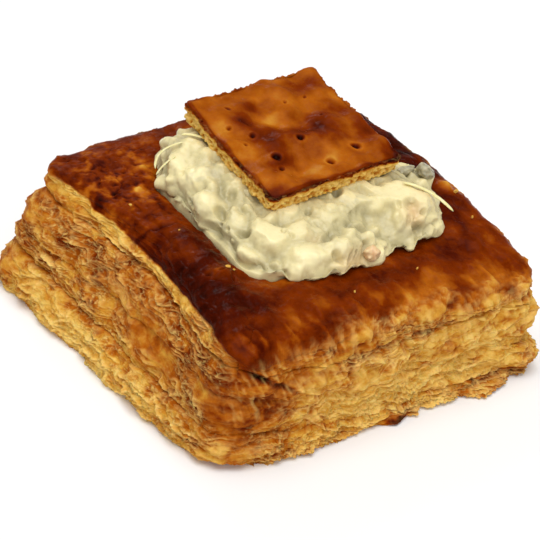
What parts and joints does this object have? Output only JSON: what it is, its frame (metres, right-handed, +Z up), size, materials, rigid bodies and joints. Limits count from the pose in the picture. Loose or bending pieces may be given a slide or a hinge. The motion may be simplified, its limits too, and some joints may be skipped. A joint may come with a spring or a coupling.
{
  "type": "vol au vent",
  "caption": "Square puff pastry vol au vent: a layered case filled with creamy sauce and chunks, with its baked lid resting tipped on the heap.",
  "frame": {"origin": "middle of the pastry case's flat base, where it rests", "axes": "+Z up; +X along the front edge from the front corner to the right corner; the leaning left wall faces -X and the back wall +Y"},
  "size_m": [0.1154, 0.1124, 0.0598],
  "materials": {
    "pastry": "baked puff pastry: glazed red-brown crust, pale golden flaky layers",
    "filling": "moist pale cream sauce over chunks, with thin shreds of cheese",
    "lid": "egg-glazed orange-brown pastry with a dark rim and docking holes"
  },
  "bodies": {
    "root": {"pastry_case": "pastry", "filling": "filling", "lid": "lid"}
  },
  "joints": []
}
